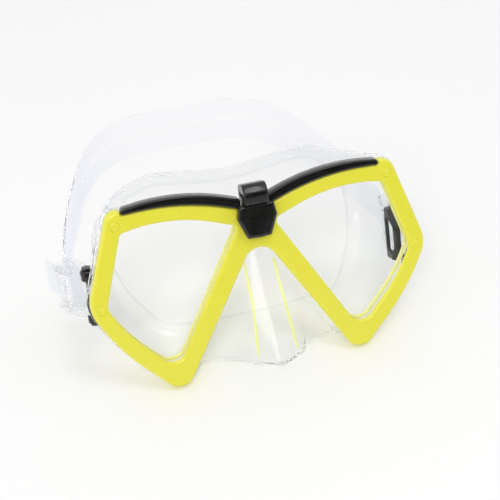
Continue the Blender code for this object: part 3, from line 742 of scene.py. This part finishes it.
def make_clip(look):
    """The bridge shield with three doubled smiling ridges, and the hook over the brow."""
    shape = bmesh.new()
    front = [(0.0, 1.5), (0.12, 0.85), (0.5, 0.32), (1.1, 0.06), (1.7, 0.0)]
    slab(shape, full_outline(SHIELD_HALF), [], SHIELD_FRONT, SHIELD_BACK, front, round_rim(0.3, 2))
    for height in RIDGE_HEIGHTS:
        for shift in (0.0, -RIDGE_GAP):
            path = []
            for k in range(17):
                x = -RIDGE_HALF_WIDTH + 2 * RIDGE_HALF_WIDTH * k / 16
                path.append(Vector((x, SHIELD_FRONT + 0.05, height + shift + RIDGE_SAG * x * x)))
            tube(shape, path, radius=0.42, sides=10, squash=1.5)
    shield = finish(shape, "clip_shield", look, MASK)
    shape = bmesh.new()
    rim = round_rim(0.7, 4)
    slab(shape, HOOK_PROFILE, [HOOK_SLOT], -HOOK_HALF_WIDTH, HOOK_HALF_WIDTH, rim, rim,
         round_rim(0.3, 2), "side")
    hook = finish(shape, "clip_hook", look, MASK)
    for obj, node in ((shield, "bridge_shield"), (hook, "bridge_hook")):
        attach(obj, "mask")
        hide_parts(node)


# ------------------------------------------------------------------------------ skirt

SKIRT_ROWS = 190
SKIRT_COLUMNS = 72
TIP_STEPS = 5
SOFTENING = 6
LIP_SOFTENING = 50


def along(points, distances, target):
    """The point at a distance along a polyline."""
    for a, b, start, end in zip(points, points[1:], distances, distances[1:]):
        if target <= end or b is points[-1]:
            return a.lerp(b, (target - start) / max(end - start, 1e-9))


def key_blend(keys, fraction):
    """The wall points at a fraction of the outline, eased between the key sections."""
    for (low, first), (high, second) in zip(keys, keys[1:]):
        if fraction <= high or high == 1.0:
            u = (fraction - low) / (high - low)
            u = u * u * (3 - 2 * u) * 0.5 + u * 0.5
            return [Vector(a).lerp(Vector(b), u) for a, b in zip(first, second)]


def above_floor(point):
    """The soft skirt flattens where it would dip under the floor that the mask leans on."""
    height = LEAN_HEIGHT + point.z * math.cos(LEAN) - point.y * math.sin(LEAN)
    return point + Vector((0, 0, max(0.0, FLOOR_CLEARANCE - height) / math.cos(LEAN)))


def right_half(outline):
    """The x >= 0 part of a mirrored outline, from where it crosses x = 0 at the top to the lower crossing."""
    ahead = outline[1:] + outline[:1]
    top = next(i for i, (a, b) in enumerate(zip(outline, ahead)) if a.x <= 0 < b.x)
    turned = outline[top:] + outline[:top]
    after = next(i for i, point in enumerate(turned[1:], 1) if point.x <= 0)
    half = turned[: after + 1]
    for end, inside in ((0, 1), (-1, -2)):
        a, b = half[end], half[inside]
        half[end] = a.lerp(b, -a.x / (b.x - a.x))
    return half


def skirt_point(half, distances, fraction, reach):
    """A point of the skirt's outer face: fraction round the half outline, reach from flange to seal lip."""
    edge = along(half, distances, fraction * distances[-1])
    flange = Vector((edge.x, FLANGE_FRONT, edge.y))
    keys = key_blend(SKIRT_KEYS, fraction)
    forward = min(1.0, max(0.0, (fraction - NOSE_START) / (1.0 - NOSE_START) * 2.5))
    straight_back = flange + Vector((0, 2.4, 0))
    route = [flange, straight_back.lerp(flange.lerp(keys[0], 0.5), forward), *keys]
    return above_floor(smooth_through(route, reach))


def swelling(distance, width):
    """A smooth swelling: 1 at no distance, gone by about two widths."""
    return math.exp(-((distance / width) ** 2))


def skirt_wall(fraction, reach):
    """Wall thickness in millimetres: thick along the nose pocket's lower rim, thinner out to the seal lip,
    which ends in a bead."""
    pocket = min(1.0, max(0.0, (fraction - POCKET_RIM_START) / 0.06))
    wall = WALL + POCKET_RIM * pocket * swelling(reach - POCKET_RIM_REACH, 0.045)
    if reach > LIP_START:
        wall -= LIP_THINNING * (reach - LIP_START) / (1.0 - LIP_START)
    return wall + LIP_BEAD * swelling(1.0 - reach, 0.018)


def round_tip(first, last, ahead):
    """Points over a half-round edge from first to last, bulging ahead."""
    middle, spoke = (first + last) / 2, (first - last) / 2
    turns = [math.pi * k / (TIP_STEPS + 1) for k in range(1, TIP_STEPS + 1)]
    return [middle + spoke * math.cos(a) + ahead * (spoke.length * math.sin(a)) for a in turns]


def softened(sections, start):
    """Sections eased towards their neighbours round the outline, from a start column out to the seal lip."""
    eased = []
    for k, row in enumerate(sections):
        before = sections[k - 1]
        after = sections[(k + 1) % len(sections)]
        outer = [(a + b * 2 + c) / 4 for a, b, c in zip(before[start:], row[start:], after[start:])]
        eased.append(row[:start] + outer)
    return eased


def skirt_sections():
    """The outer face's points, a row for each section of a full turn: down the right half, then the left
    half back up as its mirror image."""
    half = right_half(rounded(full_outline(SKIRT_HALF)))
    distances = [0.0]
    for a, b in zip(half, half[1:]):
        distances.append(distances[-1] + (b - a).length)
    reaches = [j / SKIRT_COLUMNS for j in range(SKIRT_COLUMNS + 1)]
    sections = []
    for i in range(SKIRT_ROWS + 1):
        row = [skirt_point(half, distances, i / SKIRT_ROWS, reach) for reach in reaches]
        if i in (0, SKIRT_ROWS):
            for point in row:
                point.x = 0.0
        sections.append(row)
    sections += [[Vector((-p.x, p.y, p.z)) for p in row] for row in reversed(sections[1:-1])]
    # Soften along the outline so that key sections don't show as creases, most of all at the seal lip.
    for _ in range(SOFTENING):
        sections = softened(sections, 0)
    for _ in range(LIP_SOFTENING):
        sections = softened(sections, SKIRT_COLUMNS * 2 // 3)
    return sections


def skirt_loops(sections):
    """Each section as a closed loop: out along the outer face, over the lip's tip and back inside."""
    loops = []
    for k, row in enumerate(sections):
        fraction = k / SKIRT_ROWS if k <= SKIRT_ROWS else 2 - k / SKIRT_ROWS
        outer = []
        inner = []
        for j, point in enumerate(row):
            ahead = sections[(k + 1) % len(sections)][j] - sections[k - 1][j]
            run = row[min(j + 1, SKIRT_COLUMNS)] - row[max(j - 1, 0)]
            normal = ahead.cross(run).normalized()
            outer.append(above_floor(point))
            inner.append(above_floor(point + normal * skirt_wall(fraction, j / SKIRT_COLUMNS)))
        ahead = (outer[-1] - outer[-2]).normalized()
        loops.append([*outer, *round_tip(outer[-1], inner[-1], ahead), *reversed(inner)])
    return loops


def make_skirt(look, lip_shade_look, sections):
    """The soft shell from the flange back to the seal lip, whose rounded edge has a greyer look of painted
    shade.
    """
    shape = bmesh.new()
    rings = [[shape.verts.new(point) for point in loop] for loop in skirt_loops(sections)]
    size = len(rings[0])
    for k, ring in enumerate(rings):
        following = rings[(k + 1) % len(rings)]
        for j in range(size):
            ahead = (j + 1) % size
            face = shape.faces.new((ring[j], ring[ahead], following[ahead], following[j]))
            # Faces over the seal lip's rounded edge take the lip's painted-shade look.
            if SKIRT_COLUMNS - 1 <= j <= SKIRT_COLUMNS + TIP_STEPS + 1:
                face.material_index = 1
    skirt = finish(shape, "skirt_shell", look, MASK, 60.0)
    skirt.data.materials.append(lip_shade_look)
    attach(skirt, "mask")
    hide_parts("skirt", "face_seal")


def make_pocket_leg_reflections(look, sections):
    """Thin yellow-green strips down the nose pocket's front corners: a painted reflection of the yellow frame
    legs in the clear wall.
    """
    corner = sections[round(POCKET_CORNER * SKIRT_ROWS)][1:30]
    shape = bmesh.new()
    path = [point + Vector((0.1, -0.1, 0)) for point in corner]
    tube(shape, path, radius=0.75, sides=12, squash=0.8)
    right = finish(shape, "pocket_bead_right", look, MASK)
    for bead in (right, left_of(right, "pocket_bead_left")):
        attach(bead, "mask")


def make_flange(look):
    """The skirt's flat front flange, held between the frame and the retainers."""
    shape = bmesh.new()
    rim = round_rim(0.3, 2)
    eye = shifted(EYE_CORNERS, 0.5)
    other = [(-x, z, radius) for x, z, radius in reversed(eye)]
    outer = shifted(full_outline(SKIRT_HALF), -1.7)
    slab(shape, outer, [eye, other], FLANGE_FRONT + 0.1, FLANGE_BACK, rim, rim)
    flange = finish(shape, "skirt_flange", look, MASK)
    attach(flange, "mask")


# ------------------------------------------------------------------------------ strap, buckle, lug


def strap_stations():
    """Lower and upper edge points of the right half in row millimetres, from just past the back of the head
    forward, round the roller and out as the tail."""
    stations = []
    route = [Vector(point) for point in STRAP_ROUTE]
    steps = 60
    for i in range(steps + 1):
        place = smooth_through(route, 1.0 - i / steps)
        if i == 0:
            place.x = 0.0
        lean = max(0.0, (place.x - SPLIT_REACH) / (STRAP_ROUTE[0][0] - SPLIT_REACH))
        tilt = math.tan(LEAN) * lean
        middle = (place.z + place.w) / 2
        low = Vector((place.x, place.y + tilt * (place.z - middle), place.z))
        high = Vector((place.x, place.y + tilt * (place.w - middle), place.w))
        stations.append((FLOOR @ low / MM, FLOOR @ high / MM))
    mirror = Matrix.Scale(-1, 3, (1, 0, 0))
    stations = [(mirror @ low, mirror @ high) for low, high in reversed(stations[1:4])] + stations
    radius = ROLLER_RADIUS + 0.3 + STRAP_THICK / 2
    path = [Vector((ROLLER.x - radius, y)) for y in (40.0, 35.0, 30.0, 25.0, 21.0)]
    for k in range(17):
        a = math.pi * k / 16
        path.append(ROLLER + Vector((-math.cos(a), -math.sin(a))) * radius)
    path += [Vector((ROLLER.x + radius, y)) for y in (20.0, 24.0, 29.0, 34.0, 39.0, 44.0, 48.0)]
    for point in path:
        low, high = [BUCKLE @ Vector((point.x, point.y, z)) / MM for z in (-ROLLER_HALF, ROLLER_HALF)]
        stations.append((low, high))
    return stations


def cut_at_middle(mesh, join_look):
    """Cuts a strap half off square at x = 0, and closes it with a see-through face that meets its
    mirror image."""
    shape = bmesh.new()
    shape.from_mesh(mesh)
    everything = [*shape.verts, *shape.edges, *shape.faces]
    bmesh.ops.bisect_plane(
        shape, geom=everything, dist=1e-7, plane_co=(0, 0, 0), plane_no=(1, 0, 0), clear_inner=True
    )
    rim = [edge for edge in shape.edges if edge.is_boundary]
    for face in shape.faces:
        face.smooth = True
    for face in bmesh.ops.holes_fill(shape, edges=rim, sides=0)["faces"]:
        face.material_index = 1
        face.smooth = False
    for edge in rim:
        edge.smooth = False
    shape.to_mesh(mesh)
    shape.free()
    mesh.materials.append(join_look)


def make_strap(look, join_look):
    """The strap's right half and its mirror image: a band with a slot along its middle round the back."""
    slot_low = (STRAP_WIDTH - STRAP_SLOT) / 2 / STRAP_WIDTH
    slot_high = (STRAP_WIDTH + STRAP_SLOT) / 2 / STRAP_WIDTH
    shares = [0.0, 0.12, 0.26, 0.4, slot_low, slot_high, 0.6, 0.74, 0.88, 1.0]
    shape = bmesh.new()
    rows = []
    for low, high in strap_stations():
        rows.append([shape.verts.new(low.lerp(high, share)) for share in shares])
    slot = shares.index(slot_low)
    for first, second in zip(rows, rows[1:]):
        for j in range(len(shares) - 1):
            if j != slot or abs(first[0].co.x) > SPLIT_REACH or first[0].co.y < 0.0:
                shape.faces.new((first[j], first[j + 1], second[j + 1], second[j]))
    bmesh.ops.recalc_face_normals(shape, faces=shape.faces)
    mesh = bpy.data.meshes.new("strap_sheet")
    shape.to_mesh(mesh)
    shape.free()
    mesh.transform(Matrix.Scale(MM, 4))
    sheet = link(bpy.data.objects.new("strap_sheet", mesh))
    wall = sheet.modifiers.new("wall", "SOLIDIFY")
    wall.thickness = STRAP_THICK * MM
    wall.offset = 0.0
    smooth = sheet.modifiers.new("smooth", "SUBSURF")
    smooth.levels = smooth.render_levels = 2
    bpy.context.view_layer.update()
    final = bpy.data.meshes.new_from_object(sheet.evaluated_get(bpy.context.evaluated_depsgraph_get()))
    bpy.data.objects.remove(sheet, do_unlink=True)
    final.materials.clear()
    final.materials.append(look)
    cut_at_middle(final, join_look)
    right = link(bpy.data.objects.new("strap_right", final))
    left = left_of(right, "strap_left")
    for obj, side, sign in ((right, "right", 1), (left, "left", -1)):
        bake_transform(obj)
    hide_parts("head_strap", "strap_end_right")
    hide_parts("strap_end_left")


def wall_side(y):
    """How far out the lug's inner face lies at y: it follows the skirt wall, then runs straight back."""
    return 77.0 + 2.7 * max(0.0, (28.0 - y) / 5.6) ** 1.3


def make_lug(look):
    """An open bracket on the skirt wall: a plate with a window, and two rounded ears for the pivot pin."""
    shape = bmesh.new()
    low = PIVOT.z - BUCKLE_HALF_HEIGHT - 1.5
    high = PIVOT.z + BUCKLE_HALF_HEIGHT + 3.0
    plate = [
        (22.4, low + 1.5, 2.5),
        (33.5, low, 1.5),
        (33.5, high, 1.5),
        (27.2, high, 3.0),
        (22.4, high - 9.0, 5.0),
    ]
    window = [
        (24.3, low + 4.6, 1.5),
        (31.6, low + 4.6, 1.5),
        (31.6, high - 5.0, 1.5),
        (28.0, high - 5.0, 3.0),
        (24.3, high - 11.0, 3.0),
    ]
    slab(shape, plate, [window], 0.0, 2.0, round_rim(0.5, 2), round_rim(0.5, 2), None, "side")
    for vertex in shape.verts:
        vertex.co.x += wall_side(vertex.co.y)
    ear = [(77.6, 27.0, 0.3), (85.5, 27.5, 3.4), (85.5, 34.5, 3.4), (77.6, 33.2, 0.3)]
    gap = KNUCKLE_HALF + EAR_PLAY
    for bottom, top in ((low, PIVOT.z - gap), (PIVOT.z + gap, high)):
        slab(shape, ear, [], bottom, top, round_rim(0.6, 3), round_rim(0.6, 3), None, "plan")
    right = finish(shape, "lug_bracket_right", look, MASK)
    left = left_of(right, "lug_bracket_left")
    for obj, side in ((right, "right"), (left, "left")):
        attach(obj, "mask")
        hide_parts(f"lug_{side}")


def bar(path, radius, matrix):
    """A helper rod along a path, to be joined to a clear piece."""
    shape = bmesh.new()
    tube(shape, path, radius, sides=10)
    return finish(shape, "joined_bar", None, matrix)


def refined(node, name, look, additions, rim):
    """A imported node's solid as a new piece: moulded bars joined on, and its corners rounded."""
    shape = bmesh.new()
    shape.from_mesh(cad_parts[node].data)
    bmesh.ops.remove_doubles(shape, verts=shape.verts, dist=2e-6)
    mesh = bpy.data.meshes.new(name)
    shape.to_mesh(mesh)
    shape.free()
    rough = link(bpy.data.objects.new(name + "_rough", mesh))
    for addition in additions:
        union = rough.modifiers.new("join", "BOOLEAN")
        union.operation = "UNION"
        union.solver = "EXACT"
        union.object = addition
    rims = rough.modifiers.new("rims", "BEVEL")
    rims.width = rim * MM
    rims.segments = 2
    rims.limit_method = "ANGLE"
    rims.angle_limit = math.radians(40)
    bpy.context.view_layer.update()
    final = bpy.data.meshes.new_from_object(rough.evaluated_get(bpy.context.evaluated_depsgraph_get()))
    for helper in (rough, *additions):
        bpy.data.objects.remove(helper, do_unlink=True)
    final.materials.clear()
    shape = bmesh.new()
    shape.from_mesh(final)
    return finish(shape, name, look, Matrix(), 40.0)


def make_roller(look):
    """The fluted roller that the strap turns round, on its thin axle."""
    sides = 96
    flutes = 16
    flute_depth = 0.14
    axle = 1.5
    barrel_rim = ROLLER_RADIUS - 0.3
    half = [(ROLLER_RADIUS, 8.8), (barrel_rim, ROLLER_HALF), (axle, ROLLER_HALF), (axle, 11.6), (1.3, 11.8)]
    profile = [(radius, -height) for radius, height in reversed(half)] + half
    rings = []
    for radius, height in profile:
        ring = []
        for k in range(sides):
            a = 2 * math.pi * k / sides
            flute = flute_depth * (1.0 - math.cos(flutes * a)) / 2 if radius > axle else 0.0
            x = ROLLER.x + (radius - flute) * math.cos(a)
            y = ROLLER.y + (radius - flute) * math.sin(a)
            ring.append(Vector((x, y, height)))
        rings.append(ring)
    shape = bmesh.new()
    for end in ring_strip(shape, rings):
        shape.faces.new(end)
    return finish(shape, "strap_roller_right", look, BUCKLE)


def make_buckle(look):
    """The clear housing with its ribbed lock lever and its roller."""
    housing = refined("buckle_right", "buckle_housing_right", look, [], 0.45)
    ribs = []
    for k in range(LOCK_RIBS):
        place = LOCK_AXLE + Vector((1.05, -2.0 - LOCK_RIB_STEP * k))
        path = [Vector((place.x, place.y, z)) for z in (-8.6, -4.0, 0.0, 4.0, 8.6)]
        ribs.append(bar(path, LOCK_RIB_RADIUS, BUCKLE))
    lock = refined("lock_right", "lock_lever_right", look, ribs, 0.2)
    roller = make_roller(look)
    for right, node in ((housing, "buckle"), (lock, "lock"), (roller, "roller")):
        left = left_of(right, right.name.replace("right", "left"))
        for obj, side in ((right, "right"), (left, "left")):
            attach(obj, f"{node}_{side}")
            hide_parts(f"{node}_{side}")


# ------------------------------------------------------------------------------ scene


def make_camera():
    data = bpy.data.cameras.new("camera")
    data.lens = CAMERA_LENS
    data.sensor_width = 36.0
    data.clip_start = 0.01
    data.clip_end = 20.0
    camera = link(bpy.data.objects.new("camera", data))
    camera.location = CAMERA_PLACE
    camera.rotation_mode = "QUATERNION"
    camera.rotation_quaternion = (CAMERA_AIM - CAMERA_PLACE).to_track_quat("-Z", "Y")
    bpy.context.scene.camera = camera


def area_light(name, place, aim, size, power):
    """A square lamp that faces a point."""
    data = bpy.data.lights.new(name, "AREA")
    data.shape = "SQUARE"
    data.size = size
    data.energy = power
    lamp = link(bpy.data.objects.new(name, data))
    lamp.location = place
    lamp.rotation_mode = "QUATERNION"
    lamp.rotation_quaternion = (Vector(aim) - Vector(place)).to_track_quat("-Z", "Y")


def make_world():
    """A white sky that darkens straight in front of the mask."""
    world = bpy.data.worlds.new("studio")
    bpy.context.scene.world = world
    world.use_nodes = True
    tree = world.node_tree
    background = tree.nodes["Background"]
    background.inputs["Strength"].default_value = WORLD_STRENGTH
    direction = tree.nodes.new("ShaderNodeTexCoord")
    towards_front = tree.nodes.new("ShaderNodeVectorMath")
    towards_front.operation = "DOT_PRODUCT"
    towards_front.inputs[1].default_value = STUDIO_FRONT
    fade = tree.nodes.new("ShaderNodeMapRange")
    fade.interpolation_type = "SMOOTHSTEP"
    fade.inputs["From Min"].default_value = 0.5
    fade.inputs["From Max"].default_value = 0.92
    colours = tree.nodes.new("ShaderNodeMix")
    colours.data_type = "RGBA"
    colours.inputs[COLOUR_A].default_value = (1.0, 1.0, 1.0, 1.0)
    colours.inputs[COLOUR_B].default_value = (0.05, 0.05, 0.055, 1.0)
    tree.links.new(direction.outputs["Generated"], towards_front.inputs[0])
    tree.links.new(towards_front.outputs["Value"], fade.inputs["Value"])
    tree.links.new(fade.outputs["Result"], colours.inputs["Factor"])
    tree.links.new(colours.outputs[COLOUR_OUT], background.inputs["Color"])


def make_floor(look):
    shape = bmesh.new()
    bmesh.ops.create_grid(shape, x_segments=8, y_segments=8, size=3.0)
    floor = finish(shape, "floor", look, Matrix())


def set_render():
    """Plain colours, and enough bounces for light to get through every clear wall."""
    scene = bpy.context.scene
    scene.view_settings.view_transform = "Standard"
    scene.view_settings.look = "None"
    scene.cycles.max_bounces = 48
    scene.cycles.transmission_bounces = 32
    scene.cycles.glossy_bounces = 32
    scene.cycles.diffuse_bounces = 6
    scene.cycles.transparent_max_bounces = 32
    scene.cycles.caustics_refractive = False
    scene.cycles.caustics_reflective = False


def dress_pivot_pins(look):
    """The pivot pins stay as packed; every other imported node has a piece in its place."""
    for side in ("right", "left"):
        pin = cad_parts[f"pivot_pin_{side}"]
        pin.data.materials.clear()
        pin.data.materials.append(look)


def main():
    yellow = yellow_look()
    black = black_look()
    clear = clear_look()
    glass = glass_look()
    make_camera()
    make_world()
    area_light("front_box", place=(-0.77, -1.93, 2.17), aim=(0, -0.03, 0.04), size=1.35, power=29.0)
    area_light("top_box", place=(0.35, -0.35, 1.8), aim=(0, 0, 0.03), size=0.5, power=3.3)
    make_floor(floor_look())
    set_render()
    dress_pivot_pins(black)
    make_frame(yellow)
    make_pins(yellow)
    make_lens(glass)
    make_retainer(lit_yellow_look())
    make_trim(black)
    make_clip(black)
    sections = skirt_sections()
    make_skirt(clear, lip_shade_look(), sections)
    make_pocket_leg_reflections(leg_reflection_look(), sections)
    make_flange(clear)
    make_strap(strap_look(), join_look())
    make_lug(black)
    make_buckle(plastic_look())


main()
